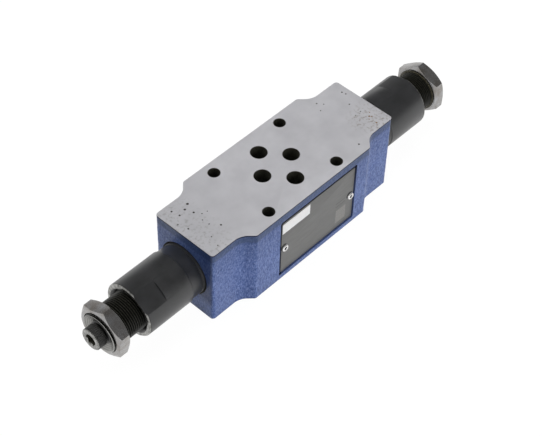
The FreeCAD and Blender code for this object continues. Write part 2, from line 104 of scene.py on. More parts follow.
def choose(piece, kind, test):
    """Selects the vertices, edges or faces of the piece in edit mode that pass the test."""
    bpy.ops.mesh.select_mode(type=kind)
    bpy.ops.mesh.select_all(action="DESELECT")
    mesh = bmesh.from_edit_mesh(piece.data)
    parts = {"VERT": mesh.verts, "EDGE": mesh.edges, "FACE": mesh.faces}[kind]
    for part in parts:
        if test(part):
            part.select_set(True)
    bmesh.update_edit_mesh(piece.data)


def middle_of(edge):
    return (edge.verts[0].co + edge.verts[1].co) / 2


def upright(edge):
    run = edge.verts[1].co - edge.verts[0].co
    return abs(run.z) > 30 * mm


def flat_lying(edge):
    run = edge.verts[1].co - edge.verts[0].co
    return abs(run.z) < 0.001 * mm


def beside(x):
    """Test for the upright edges at a distance from the middle of the block."""
    return lambda e: upright(e) and abs(abs(middle_of(e).x - block_middle) - x) < 0.1 * mm


def finish_with(piece, kind, **settings):
    """Adds one modifier to the piece and applies it."""
    pick(piece)
    modifier = piece.modifiers.new(kind.lower(), kind)
    for name, value in settings.items():
        setattr(modifier, name, value)
    bpy.ops.object.modifier_apply(modifier=modifier.name)


def machine(piece, cutter, finish, operation="DIFFERENCE"):
    """Cuts the piece with another one, or joins them, or keeps only what they share.

    The new faces take the given finish, which needs its slot on the piece beforehand, and the
    cutter is dropped.
    """
    cutter.data.materials.clear()
    cutter.data.materials.append(finish)
    if finish.name not in piece.data.materials:
        piece.data.materials.append(finish)
    finish_with(piece, "BOOLEAN", object=cutter, operation=operation, solver="MANIFOLD")
    bpy.data.objects.remove(cutter)


block = box("block", (block_middle, 0, axis_height), (block_length, block_width, block_height))
bpy.ops.object.mode_set(mode="EDIT")
for x in (-foot, -waist, waist, foot):
    bpy.ops.mesh.select_all(action="SELECT")
    bpy.ops.mesh.bisect(plane_co=(block_middle + x, 0, 0), plane_no=(1, 0, 0))
choose(block, "VERT", lambda v: abs(v.co.x - block_middle) > (waist + foot) / 2)
bpy.ops.transform.resize(value=(1, end_width / block_width, 1),
                         center_override=(block_middle, 0, axis_height))
choose(block, "EDGE", beside(foot))
bpy.ops.mesh.bevel(offset=hollow_r * offset_share, segments=10, affect="EDGES")
choose(block, "EDGE", beside(waist))
bpy.ops.mesh.bevel(offset=corner_r * offset_share, segments=3, affect="EDGES")
choose(block, "EDGE", beside(block_face))
bpy.ops.mesh.bevel(offset=corner_r, segments=5, affect="EDGES")
choose(block, "FACE", lambda f: abs(f.normal.z) > 0.99)
bpy.ops.mesh.dissolve_limited(angle_limit=math.radians(1))
choose(block, "FACE", lambda f: abs(f.normal.z) > 0.99)
bpy.ops.mesh.region_to_loop()
bpy.ops.mesh.bevel(offset=rim, segments=2, affect="EDGES")

choose(block, "EDGE", upright)
bpy.ops.mesh.subdivide(number_cuts=int(block_height / grain_step))
wall_middles = {}
for edge in bmesh.from_edit_mesh(block.data).edges:
    length = edge.calc_length()
    if flat_lying(edge) and length > 2 * grain_step and len(edge.link_faces) == 2:
        spot = middle_of(edge)
        if abs(spot.z - axis_height) < 0.6 * mm:
            wall_middles[(round(spot.x, 5), round(spot.y, 5))] = length
for (x, y), length in wall_middles.items():
    choose(block, "EDGE", lambda e: flat_lying(e) and abs(middle_of(e).x - x) < 0.3 * mm
           and abs(middle_of(e).y - y) < 0.3 * mm and e.calc_length() > length / 2)
    bpy.ops.mesh.subdivide(number_cuts=int(length / grain_step))
bpy.ops.object.mode_set(mode="OBJECT")

skin = block.vertex_groups.new(name="cast skin")
for vertex in block.data.vertices:
    depth = min(vertex.co.z, block_height - vertex.co.z)
    skin.add([vertex.index], min(max((depth - 0.3 * mm) / (0.9 * mm), 0), 1), "REPLACE")
for size, rise in cast_lumps:
    lumps = bpy.data.textures.new("cast lumps", "CLOUDS")
    lumps.noise_scale = size
    lumps.noise_depth = 1
    finish_with(block, "DISPLACE", texture=lumps, texture_coords="LOCAL", strength=rise,
                mid_level=0.62, vertex_group="cast skin")


def new_finish(name, colour, roughness, metallic=0.0, specular=0.5):
    """A node material with its plain numbers set, for a section to add its own pattern to."""
    finish = bpy.data.materials.new(name)
    finish.use_nodes = True
    shader = finish.node_tree.nodes["Principled BSDF"]
    shader.inputs["Base Color"].default_value = (*colour, 1)
    shader.inputs["Roughness"].default_value = roughness
    shader.inputs["Metallic"].default_value = metallic
    shader.inputs["Specular IOR Level"].default_value = specular
    return finish


def is_output(value):
    """Whether a value is an output, written as (node, output)."""
    return isinstance(value, tuple) and isinstance(value[0], bpy.types.Node)


def feed(finish, socket, value):
    """Links an output to the socket, or gives the socket a plain value."""
    if is_output(value):
        finish.node_tree.links.new(value[0].outputs[value[1]], socket)
    else:
        socket.default_value = value


def add_node(finish, kind, *in_order, **by_name):
    """Adds a node and feeds its inputs, the first ones in their order and others by name."""
    node = finish.node_tree.nodes.new("ShaderNode" + kind)
    for socket, value in zip(node.inputs, in_order):
        feed(finish, socket, value)
    for name, value in by_name.items():
        feed(finish, node.inputs[name], value)
    return node


def calculate(finish, operation, *values):
    node = add_node(finish, "Math", *values)
    node.operation = operation
    return (node, "Value")


def coordinate(finish, axis):
    place = add_node(finish, "TexCoord")
    return (add_node(finish, "SeparateXYZ", (place, "Object")), axis)


def placed(finish, **settings):
    """Object coordinates, moved or stretched."""
    place = add_node(finish, "TexCoord")
    return (add_node(finish, "Mapping", (place, "Object"), **settings), "Vector")


def distance_from(finish, spot, axes=(1, 1, 1)):
    """Distance from a spot, over those axes that have a 1."""
    offset = placed(finish, Location=[-c for c in spot], Scale=axes)
    length = add_node(finish, "VectorMath", offset)
    length.operation = "LENGTH"
    return (length, "Value")


def grain(finish, size, detail=2.0, stretch=(1, 1, 1), roughness=0.5):
    """Noise on Object coordinates whose lumps are about the given size."""
    noise = add_node(finish, "TexNoise", Vector=placed(finish, Scale=stretch), Scale=1 / size,
                     Detail=detail, Roughness=roughness)
    return (noise, "Fac")


def tones(finish, source, *stops):
    """Colour ramp over the source with (position, colour) stops."""
    ramp = add_node(finish, "ValToRGB", source)
    marks = ramp.color_ramp.elements
    while len(marks) < len(stops):
        marks.new(0.5)
    for mark, (position, colour) in zip(marks, stops):
        mark.position = position
        mark.color = (*colour, 1)
    return (ramp, "Color")


def blend_tones(finish, share, first, second):
    """Mixes two colours, either of them a value or an output, by the share."""
    mix = add_node(finish, "Mix")
    mix.data_type = "RGBA"
    feed(finish, mix.inputs[0], share)
    for place, colour in ((6, first), (7, second)):
        feed(finish, mix.inputs[place], colour if is_output(colour) else (*colour, 1))
    return (mix, 2)


def over(finish, source, low, high, most=1.0):
    """0 before the low value of the source and the most past the high one, sloping between."""
    limits = {"From Min": low, "From Max": high, "To Max": most}
    return (add_node(finish, "MapRange", source, **limits), "Result")


def wire(finish, source, name):
    feed(finish, finish.node_tree.nodes["Principled BSDF"].inputs[name], source)


def relief(finish, height, distance, strength=0.5):
    """Bump from a height output, of a real depth in metres."""
    bump = add_node(finish, "Bump", Height=height, Distance=distance, Strength=strength)
    wire(finish, (bump, "Normal"), "Normal")


def speckled(finish, size, detail, dark, light, depth=0.0, strength=0.5, stretch=(1, 1, 1)):
    """Noise that swings the finish between two tones and gives it relief where it has a depth."""
    specks = grain(finish, size, detail, stretch)
    wire(finish, tones(finish, specks, (0.3, dark), (0.7, light)), "Base Color")
    if depth:
        relief(finish, specks, depth, strength)
    return finish


paint_dark = (0.020, 0.045, 0.165)
paint_middle = (0.108, 0.170, 0.41)
paint_light = (0.26, 0.34, 0.62)
blue_paint = new_finish("blue paint", paint_middle, 0.36, specular=0.18)
pores = grain(blue_paint, 0.75 * mm, 4.0, roughness=0.6)
brushed = grain(blue_paint, 0.45 * mm, 2.0, (1, 1, 0.25))
rough = calculate(blue_paint, "ADD", pores, brushed)
paint_tone = tones(blue_paint, over(blue_paint, rough, 0.62, 1.38),
                   (0.0, paint_dark), (0.5, paint_middle), (1.0, paint_light))

# Painted shade: the paint darkens toward the top, most of all in a strip level with the top of the
# plate pocket, and a thin dark line runs under the top edge.
height = coordinate(blue_paint, "Z")
for low, high, share, colour in (
        (20, 38.6, 0.30, [c * 0.5 for c in paint_dark]),
        (35.0, 36.2, 0.6, (0.034, 0.058, 0.12)),
        (39.0, 39.3, 1.0, [c * 0.25 for c in paint_dark])):
    paint_tone = blend_tones(blue_paint, over(blue_paint, height, low * mm, high * mm, share),
                             paint_tone, colour)

# Painted shadow: the A end face is darkened on its plate half, down to a little above the foot,
# where the sleeve shades it.
end_face = over(blue_paint, coordinate(blue_paint, "X"), -53.9 * mm, -54.3 * mm)
plate_half = over(blue_paint, coordinate(blue_paint, "Y"), 3 * mm, -12 * mm, 0.65)
above_foot = over(blue_paint, height, 6 * mm, 11 * mm)
painted_sleeve_shadow = calculate(blue_paint, "MULTIPLY",
                        calculate(blue_paint, "MULTIPLY", end_face, plate_half), above_foot)
paint_tone = blend_tones(blue_paint, painted_sleeve_shadow, paint_tone, (0.006, 0.020, 0.080))
wire(blue_paint, paint_tone, "Base Color")
relief(blue_paint, rough, 0.09 * mm, 1.0)

# Painted shade: the pocket is near black along its top and its A end side, where its lip shades
# it, and plain blue below and toward the B end.
shaded_pocket_paint = new_finish("pocket paint with painted shade", (0.012, 0.020, 0.055), 0.5)
unshaded = calculate(
    shaded_pocket_paint, "MULTIPLY",
    over(shaded_pocket_paint, coordinate(shaded_pocket_paint, "Z"), 33 * mm, 22 * mm),
    over(shaded_pocket_paint, coordinate(shaded_pocket_paint, "X"), -18.6 * mm, -17.6 * mm))
pocket_shade_tone = tones(shaded_pocket_paint, grain(shaded_pocket_paint, 0.8 * mm, 3.0),
                    (0.3, (0.006, 0.010, 0.03)), (0.7, (0.02, 0.03, 0.08)))
wire(shaded_pocket_paint, blend_tones(shaded_pocket_paint, unshaded, pocket_shade_tone, (0.07, 0.11, 0.27)),
     "Base Color")

# The ground top is cloudy, dims toward the A end, and has grey stains there and a brown patch.
brown_spot = (49 * mm, -10 * mm, block_height)
ground_face = new_finish("ground face", (0.50, 0.49, 0.53), 0.48, 0.2)
face_tone = tones(ground_face, grain(ground_face, 9 * mm, 4.0),
                  (0.3, (0.485, 0.482, 0.505)), (0.7, (0.56, 0.557, 0.58)))
blots = grain(ground_face, 1.3 * mm, 4.0, roughness=0.6)
along_face = coordinate(ground_face, "X")
brown_share = calculate(ground_face, "MULTIPLY", over(ground_face, blots, 0.52, 0.68),
                        over(ground_face, distance_from(ground_face, brown_spot), 12 * mm, 3 * mm))
grey_share = calculate(ground_face, "MULTIPLY", over(ground_face, blots, 0.52, 0.72),
                       over(ground_face, along_face, -36 * mm, -50 * mm))
dim_share = over(ground_face, along_face, -15 * mm, -55 * mm, 0.3)
for share, colour in ((brown_share, (0.20, 0.165, 0.13)), (grey_share, (0.30, 0.29, 0.28)),
                      (dim_share, (0.30, 0.30, 0.315))):
    face_tone = blend_tones(ground_face, share, face_tone, colour)
wire(ground_face, face_tone, "Base Color")
relief(ground_face, grain(ground_face, 0.25 * mm, 2.0, (0.04, 1, 1)), 0.01 * mm, 0.4)

oiled_bore = new_finish("oiled bore", (0.012, 0.011, 0.009), 0.35, 0.4)
speckled(oiled_bore, 0.4 * mm, 2.0, (0.060, 0.058, 0.044), (0.115, 0.112, 0.088), 0.02 * mm)

for finish in (blue_paint, ground_face, oiled_bore):
    block.data.materials.append(finish)
for face in block.data.polygons:
    near_top = max(face.center.z, block_height - face.center.z) > block_height - 1.01 * rim
    face.material_index = 1 if near_top else 0


def draw_profile(name, profile, shift=0):
    """Edges through (distance, radius) points in millimetres, left in edit mode."""
    bpy.ops.object.select_all(action="DESELECT")
    bpy.ops.mesh.primitive_plane_add(size=mm)
    piece = bpy.context.object
    piece.name = name
    bpy.ops.object.mode_set(mode="EDIT")
    bpy.ops.mesh.select_mode(type="VERT")
    bpy.ops.mesh.select_all(action="SELECT")
    bpy.ops.mesh.merge(type="CENTER")
    bpy.ops.mesh.select_all(action="SELECT")
    bpy.ops.transform.translate(value=(block_middle + (shift + profile[0][0]) * mm, 0,
                                       axis_height + profile[0][1] * mm))
    for here, there in zip(profile, profile[1:]):
        step = ((there[0] - here[0]) * mm, 0, (there[1] - here[1]) * mm)
        bpy.ops.mesh.extrude_region_move(TRANSFORM_OT_translate={"value": step})
    bpy.ops.mesh.select_all(action="SELECT")
    return piece


def turned(name, profile, steps=128):
    """Spins a profile of (distance, radius) points about the valve axis.

    A profile that starts and ends on the axis gives a solid, any other one closes into a ring.
    """
    solid = profile[0][1] == profile[-1][1] == 0
    piece = draw_profile(name, profile if solid else [*profile, profile[0]])
    bpy.ops.mesh.spin(steps=steps, angle=2 * math.pi, center=(0, 0, axis_height), axis=(1, 0, 0))
    bpy.ops.mesh.select_all(action="SELECT")
    bpy.ops.mesh.remove_doubles(threshold=0.0005 * mm)
    bpy.ops.mesh.normals_make_consistent(inside=False)
    bpy.ops.object.mode_set(mode="OBJECT")
    return piece


ends = {"a": -1, "b": 1}
along_x = (0, math.pi / 2, 0)


def to_end(piece, end):
    """Turns a piece drawn along +X round to the A side where it belongs there."""
    if ends[end] < 0:
        piece.rotation_euler = (0, 0, math.pi)
        piece.location = (2 * block_middle, 0, 0)
        pick(piece)
        settle(piece)
    return piece


ports = {"p": (0, 10.4), "a": (-8.8, 0), "b": (8.7, 0), "t": (0, -10.4)}
studs = [(-21.5, -15.5), (-21.5, 15.5), (19.0, -16.25), (19.0, 16.25)]
port_r = 3.75 * mm
seat_r = 6.35 * mm
seat_depth = 1.3 * mm
stud_r = 2.75 * mm
through = 60 * mm
gallery_r = 1.9 * mm
gallery_length = 56 * mm
stepped_bore = [(1.75, 0), (4, 4.5), (20, 4.5), (20, 10), (42, 10), (42, 12.03), (54.2, 12.03),
                (55, 12.83), (57, 12.83), (57, 0)]
holes = []
for x, y in ports.values():
    holes.append(cut_bar("port", (x * mm, y * mm, axis_height), through, port_r, 64))
    holes.append(cut_bar("seal seat", (x * mm, y * mm, 0), 2 * seat_depth, seat_r, 96))
for x, y in studs:
    holes.append(cut_bar("stud hole", (x * mm, y * mm, axis_height), through, stud_r, 64))
holes.append(cut_bar("gallery", (block_middle, -9.4 * mm, axis_height), gallery_length, gallery_r,
                     32, along_x))
for end in ends:
    holes.append(to_end(turned("bore", stepped_bore), end))
for hole in holes:
    machine(block, hole, oiled_bore)

# Pits of the casting and one rusty spot in the ground top, as (x, y, size).
pit_places = [
    (-41.4, 10.9, 0.4), (-44.3, 9.5, 0.35), (-48.8, 12.5, 0.3), (-48.0, 8.7, 0.3),
    (-42.9, 5.8, 0.32), (-52.0, 5.6, 0.22), (-50.6, 1.1, 0.28), (-43.3, 0.4, 0.2),
    (-43.0, -3.0, 0.2), (-40.0, -6.7, 0.3), (-47.1, -8.4, 0.2), (-48.6, -13.4, 0.2),
    (-41.0, 3.0, 0.2), (-38.6, 2.4, 0.18), (52.0, 9.8, 0.28), (52.4, 7.9, 0.24),
    (39.0, 12.9, 0.25), (40.8, 10.4, 0.2), (36.9, 8.7, 0.2), (48.6, 2.5, 0.25),
    (48.6, -3.9, 0.22), (33.1, -16.4, 0.3), (45.3, -4.0, 0.2)]
rust_places = [(49.0, -8.5, 0.32), (48.2, -13.3, 0.3), (49.6, -9.3, 0.22), (47.6, -9.6, 0.2),
               (51.0, -7.0, 0.2)]
ball_r = 2.2
ball_lift = 1.5
# The pit floors are coloured dark grey, and the rust spots rust brown.
dark_pit_floor = new_finish("dark pit floor", (0.05, 0.048, 0.045), 0.8)
speckled(dark_pit_floor, 0.2 * mm, 2.0, (0.03, 0.028, 0.025), (0.09, 0.085, 0.08))
rust = new_finish("rust", (0.20, 0.11, 0.05), 0.85)
speckled(rust, 0.2 * mm, 2.0, (0.12, 0.07, 0.035), (0.33, 0.21, 0.10))
for places, spot_finish in ((pit_places, dark_pit_floor), (rust_places, rust)):
    for x, y, size in places:
        bpy.ops.object.select_all(action="DESELECT")
        bpy.ops.mesh.primitive_ico_sphere_add(
            subdivisions=2, radius=ball_r * size * mm,
            location=(x * mm, y * mm, block_height + ball_lift * size * mm))
        machine(block, settle(bpy.context.object), spot_finish)

pocket_floor = -19.8 * mm


def plate_blank(name, x_range, z_range, thickness, round_r, back):
    """A rounded sheet standing on the T side, growing outwards from its back."""
    sheet = box(name, (sum(x_range) / 2 * mm, back - thickness / 2, sum(z_range) / 2 * mm),
                ((x_range[1] - x_range[0]) * mm, thickness, (z_range[1] - z_range[0]) * mm))
    bpy.ops.object.mode_set(mode="EDIT")
    choose(sheet, "EDGE", lambda e: abs(e.verts[1].co.y - e.verts[0].co.y) > thickness / 2)
    bpy.ops.mesh.bevel(offset=round_r, segments=6, affect="EDGES")
    bpy.ops.object.mode_set(mode="OBJECT")
    return sheet


pocket = plate_blank("pocket", (-19.8, 27.4), (2.5, 35.5), 3 * mm, 1.1 * mm, pocket_floor)
machine(block, pocket, shaded_pocket_paint)
smooth(block, 32)
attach(block, "valve")
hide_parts("valve_body")

# Name plate
# Dull anodised sheet that lies sunk in the pocket of the block and is left bare, with one pale
# etched field and two ruled lines near its outer end.
plate_thickness = 0.5 * mm
plate_face = pocket_floor - plate_thickness
rivet_places = [(-16.0 * mm, 17.0 * mm), (25.3 * mm, 17.0 * mm)]
rivet_hole_r = 0.93 * mm
anodised = new_finish("dull anodised sheet", (0.165, 0.165, 0.16), 0.5, 0.2)

plate = plate_blank("name_plate_sheet", (-18.2, 27.1), (2.8, 33.2), plate_thickness, 0.8 * mm,
                    pocket_floor)
bpy.ops.object.mode_set(mode="EDIT")
choose(plate, "FACE", lambda f: f.normal.y < -0.99)
bpy.ops.mesh.region_to_loop()
bpy.ops.mesh.bevel(offset=0.1 * mm, segments=3, affect="EDGES")
bpy.ops.object.mode_set(mode="OBJECT")
plate.data.materials.append(anodised)
for x, z in rivet_places:
    machine(plate, cut_bar("rivet hole", (x, pocket_floor, z), 3 * mm, rivet_hole_r, 32,
                           (math.pi / 2, 0, 0)), anodised)


def between(finish, axis, low, high):
    """1 where the Object coordinate lies between two values, 0 elsewhere."""
    return calculate(finish, "MULTIPLY",
                     calculate(finish, "GREATER_THAN", coordinate(finish, axis), low),
                     calculate(finish, "LESS_THAN", coordinate(finish, axis), high))


def field(finish, x_range, z_range):
    return calculate(finish, "MULTIPLY", between(finish, "X", *x_range),
                     between(finish, "Z", *z_range))


rolled = grain(anodised, 0.5 * mm, 3.0, (0.08, 1, 1))
sheet_tone = tones(anodised, rolled, (0.3, (0.150, 0.150, 0.146)), (0.7, (0.178, 0.178, 0.174)))
etch_tone = tones(anodised, grain(anodised, 0.35 * mm, 2.0),
                  (0.35, (0.20, 0.195, 0.185)), (0.65, (0.29, 0.285, 0.27)))
etched = field(anodised, (16.2 * mm, 22.5 * mm), (6.2 * mm, 14.1 * mm))
sheet_tone = blend_tones(anodised, etched, sheet_tone, etch_tone)
for z in (16.5, 18.3):
    ruled = field(anodised, (15.8 * mm, 21.9 * mm), (z * mm, (z + 0.35) * mm))
    sheet_tone = blend_tones(anodised, ruled, sheet_tone, (0.085, 0.083, 0.082))
# A dark crescent lies beside each rivet, where its head shades the sheet.
for x, z in rivet_places:
    from_shade = distance_from(anodised, (x - 0.7 * mm, 0, z + 1.0 * mm), (1, 0, 1))
    shade = over(anodised, from_shade, 1.95 * mm, 1.75 * mm)
    sheet_tone = blend_tones(anodised, shade, sheet_tone, (0.006, 0.006, 0.006))
wire(anodised, sheet_tone, "Base Color")
relief(anodised, rolled, 0.008 * mm)
smooth(plate, 32)
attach(plate, "valve")
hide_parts("name_plate")

# Rivets
# Two hollow drive rivets hold the plate: a plated ring with a rolled edge, and a hole in its
# middle where the pin was driven in, coloured near black as painted shade.
rivet_profile = [(-0.5, 0), (-0.4, 0.74), (0, 0.78), (0.35, 0.84), (0.62, 0.98), (0.7, 1.14),
                 (0.66, 1.36), (0.5, 1.56), (0.2, 1.68), (0, 1.7), (0, 0.9), (-3.9, 0.9),
                 (-3.9, 0)]
pin_hole_r = 0.86 * mm
plated = new_finish("plated rivet", (0.95, 0.95, 0.94), 0.35, 0.7)
speckled(plated, 0.4 * mm, 3.0, (0.90, 0.90, 0.89), (0.97, 0.97, 0.96), 0.01 * mm)
# Painted shade: the middle of each rivet, inside the pin hole, is near black for the dark of the
# hole.
pin_hole_shade = new_finish("painted shade of the pin hole", (0.006, 0.006, 0.006), 0.6)
speckled(pin_hole_shade, 0.2 * mm, 2.0, (0.003, 0.003, 0.003), (0.010, 0.010, 0.009))

rivets = []
for x, z in rivet_places:
    rivet = turned("rivet", rivet_profile, 48)
    rivet.rotation_euler = (0, 0, -math.pi / 2)
    rivet.location = (x, plate_face + block_middle, z - axis_height)
    smooth(settle(rivet), 40)
    rivets.append(rivet)
pick(rivets[0])
rivets[1].select_set(True)
bpy.ops.object.join()
rivet_pair = bpy.context.object
rivet_pair.name = "rivet_pair"
rivet_pair.data.materials.append(plated)
rivet_pair.data.materials.append(pin_hole_shade)
for face in rivet_pair.data.polygons:
    place = min(rivet_places, key=lambda p: abs(p[0] - face.center.x))
    from_middle = math.hypot(face.center.x - place[0], face.center.z - place[1])
    face.material_index = 1 if from_middle < pin_hole_r else 0
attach(rivet_pair, "valve")
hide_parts("plate_rivets")

# Label
# Blank white film stuck on the upper inner corner of the plate. It keeps its CAD solid, which
# only takes its finish here.
white_film = new_finish("white film", (0.86, 0.86, 0.85), 0.45)
speckled(white_film, 0.6 * mm, 3.0, (0.90, 0.90, 0.89), (0.97, 0.97, 0.96), 0.01 * mm, 0.4)


def dress(node, finish):
    """Gives a CAD node its finish in every material slot."""
    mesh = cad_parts[node].data
    if not mesh.materials:
        mesh.materials.append(finish)
    for place in range(len(mesh.materials)):
        mesh.materials[place] = finish


dress("data_label", white_film)

# Port seals
# Four moulded rubber rings in the counterbores of the bottom face, and the smaller rings inside
# the cartridges, all the same black rubber.
rubber = new_finish("seal rubber", (0.018, 0.018, 0.018), 0.55)
speckled(rubber, 0.8 * mm, 3.0, (0.012, 0.012, 0.012), (0.030, 0.030, 0.029), 0.01 * mm, 0.6)
for port in ports:
    dress("port_seal_" + port, rubber)
for end in ends:
    for ring in ("seat_seal_", "plate_seal_", "sleeve_seal_", "plug_seal_"):
        dress(ring + end, rubber)

# Sleeves
# Turned steel sleeves, blackened after turning, with a neck screwed into the block. The mouth is
# countersunk, and only the front ring and its chamfer are worn bright. Two wrench flats are
# milled at the front.
sleeve_fronts = {"a": 86.0, "b": 84.9}
flat_turns = {"a": 180 - 127.5, "b": 77.0}
flat_from_axis = 11.5
mill_size = (22, 30, 10)
worn_from = {"a": 0.52, "b": 0.78}
worn_inner_r = 10.5 * mm

black_oxide = new_finish("black oxide", (0.015, 0.015, 0.015), 0.42, specular=0.8)
smudge = grain(black_oxide, 6 * mm, 3.0)
wire(black_oxide, tones(black_oxide, smudge, (0.3, (0.016, 0.0165, 0.017)),
                        (0.7, (0.026, 0.0265, 0.028))), "Base Color")
wire(black_oxide, tones(black_oxide, smudge, (0.3, (0.34, 0.34, 0.34)),
                        (0.7, (0.42, 0.42, 0.42))), "Roughness")
relief(black_oxide, grain(black_oxide, 0.35 * mm, 3.0, (1, 0.04, 0.04)), 0.006 * mm)

bare_edge = new_finish("bare worn steel", (0.52, 0.51, 0.50), 0.3, 0.9)
wear = grain(bare_edge, 1.2 * mm, 4.0)
wire(bare_edge, tones(bare_edge, wear, (0.36, (0.12, 0.12, 0.112)), (0.5, (0.27, 0.268, 0.255)),
                      (0.7, (0.40, 0.397, 0.385))), "Base Color")
relief(bare_edge, wear, 0.01 * mm)

for end in ends:
    front = sleeve_fronts[end]
    sleeve = turned("sleeve_shell_" + end, [
        (34, 6.5), (34, 9.97), (37, 9.97), (37, 8.4), (39.2, 8.4), (39.2, 9.97), (42.05, 9.97),
        (42.05, 12), (55.6, 12), (55.6, 11.7), (56.3, 11.7), (56.5, 12), (61.55, 12),
        (61.8, 12.12), (61.8, 12.2), (62.1, 12.5), (front - 0.75, 12.5), (front - 0.72, 12.36),
        (front - 0.56, 12.36), (front - 0.53, 12.48), (front, 12.0), (front, 10.6),
        (front - 1.57, 9.05), (69.2, 9.05), (69.2, 6.5)])
    sleeve.data.materials.append(black_oxide)
    reach = flat_from_axis + mill_size[2] / 2
    for half in (0, 180):
        turn = math.radians(flat_turns[end] + half)
        mill = box("mill", (block_middle + front * mm, reach * math.cos(turn) * mm,
                            axis_height + reach * math.sin(turn) * mm),
                   [side * mm for side in mill_size], (turn - math.pi / 2, 0, 0))
        machine(sleeve, mill, black_oxide)
    finish_with(sleeve, "BEVEL", width=0.08 * mm, segments=2, limit_method="ANGLE",
                angle_limit=math.radians(35))
    sleeve.data.materials.append(bare_edge)
    for face in sleeve.data.polygons:
        along = face.center.x - block_middle
        from_axis = math.hypot(face.center.y, face.center.z - axis_height)
        worn = along > (front - worn_from[end]) * mm and from_axis > worn_inner_r
        face.material_index = 1 if worn else 0
    smooth(to_end(sleeve, end), 30)
    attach(sleeve, "valve")
    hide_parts("sleeve_" + end)

# End plugs
# Blackened plugs with a fine M18 x 1 thread, screwed into the sleeves. The front is dished to a
# cone that is turned bright, with the adjusting screw standing in its middle.
pitch = 1.0
crest_r = 9.0
root_r = 8.39
groove = [(0, root_r), (0.125, root_r), (0.44, crest_r), (0.56, crest_r), (0.875, root_r),
          (1, root_r)]
plug_fronts = {"a": 102.1, "b": 99.2}
plug_length = 30.0
thread_start = 82.0
thread_lead = 1.37
seal_groove_r = 7.53
screw_way_r = 3.3
dish_r = 8.6
dish_floor_r = 5.6
dish_depth = 3.3
screw_fit_r = 3.03
turned_mark = 0.55 * mm

black_thread = new_finish("black thread", (0.015, 0.015, 0.013), 0.40, specular=0.28)
valve_axis = (0, 0, axis_height)
crumbs = grain(black_thread, 0.5 * mm, 3.0)
crest = over(black_thread, distance_from(black_thread, valve_axis, (0, 1, 1)), 8.75 * mm, 9.0 * mm)
wire(black_thread, tones(black_thread, calculate(black_thread, "MULTIPLY", crest, crumbs),
                         (0.1, (0.005, 0.005, 0.004)), (0.6, (0.034, 0.033, 0.025))), "Base Color")
relief(black_thread, crumbs, 0.01 * mm)

faced_steel = new_finish("turned steel", (0.33, 0.325, 0.315), 0.34, 0.7)
feed_marks = calculate(faced_steel, "SINE", calculate(
    faced_steel, "MULTIPLY", distance_from(faced_steel, valve_axis, (0, 1, 1)),
    2 * math.pi / turned_mark))
uneven_marks = calculate(faced_steel, "MULTIPLY", feed_marks, grain(faced_steel, 0.8 * mm, 3.0))
wire(faced_steel, tones(faced_steel, over(faced_steel, uneven_marks, -0.6, 0.6),
                        (0.0, (0.25, 0.247, 0.235)), (1.0, (0.42, 0.417, 0.40))), "Base Color")
relief(faced_steel, uneven_marks, 0.02 * mm, 0.6)


def cut_square(x, keep):
    """Cuts the piece in edit mode square at a distance and closes it, keeping one side."""
    bpy.ops.mesh.select_all(action="SELECT")
    bpy.ops.mesh.bisect(plane_co=(block_middle + x * mm, 0, 0), plane_no=(1, 0, 0), use_fill=True,
                        clear_outer=keep == "inner", clear_inner=keep == "outer",
                        threshold=0.00001 * mm)


for end in ends:
    front = plug_fronts[end]
    start = front - plug_length
    plug = draw_profile("plug_shell_" + end, groove, thread_start - thread_lead)
    bpy.ops.transform.translate(value=(0, 0, -axis_height))
    bpy.ops.object.mode_set(mode="OBJECT")
    finish_with(plug, "SCREW", axis="X", angle=2 * math.pi, screw_offset=pitch * mm,
                iterations=int(front - thread_start) + 3, steps=72, render_steps=72,
                use_merge_vertices=True, merge_threshold=0.002 * mm)
    bpy.ops.object.mode_set(mode="EDIT")
    bpy.ops.mesh.select_all(action="SELECT")
    bpy.ops.transform.translate(value=(0, 0, axis_height))
    bpy.ops.mesh.remove_doubles(threshold=0.002 * mm)
    cut_square(front, "inner")
    cut_square(thread_start, "outer")
    bpy.ops.mesh.select_all(action="SELECT")
    bpy.ops.mesh.normals_make_consistent(inside=False)
    bpy.ops.object.mode_set(mode="OBJECT")
    plug.data.materials.append(black_thread)
    shank = turned("shank", [
        (start, screw_way_r), (start, crest_r), (start + 3, crest_r), (start + 3, seal_groove_r),
        (start + 5, seal_groove_r), (start + 5, crest_r), (thread_start + 0.01, crest_r),
        (thread_start + 0.01, screw_way_r)])
    machine(plug, shank, black_thread, "UNION")
    point = turned("point", [(start - 1, 0), (start - 1, 10), (front - 0.25, 10),
                             (front - 0.25, crest_r), (front, 8.75), (front, 0)])
    machine(plug, point, black_thread, "INTERSECT")
    dish = turned("dish", [
        (start - 1, 0), (start - 1, screw_fit_r), (front - dish_depth, screw_fit_r),
        (front - dish_depth, dish_floor_r), (front, dish_r), (front + 0.2, dish_r),
        (front + 0.2, 0)])
    machine(plug, dish, faced_steel)
    for face in plug.data.polygons:
        along = (face.center.x - block_middle) / mm
        from_axis = math.hypot(face.center.y, face.center.z - axis_height)
        if along > front - 0.26 and from_axis > 8.5 * mm and face.normal.x > 0.5:
            face.material_index = list(plug.data.materials).index(faced_steel)
    smooth(to_end(plug, end), 30)
    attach(plug, "valve")
    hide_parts("end_plug_" + end)

# Lock nuts
# Thin hexagon nuts cut from bright bar, chamfered on both faces and left bare. A plastic ring in
# the back of each grips the thread.
nut_across = 22.0
nut_thickness = 6.0
nut_backs = {"a": 95.25, "b": 93.55}
nut_turns = {"a": 180 - 38.5, "b": 24.0}
corner = nut_across / math.sqrt(3)
beyond_corner = corner + 0.02
chamfer_r = 10.7
chamfer_depth = 1.15
nut_bore_r = 9.03
nut_mouth_r = 9.4
ring_seat_r = 10
ring_seat_depth = 1.2

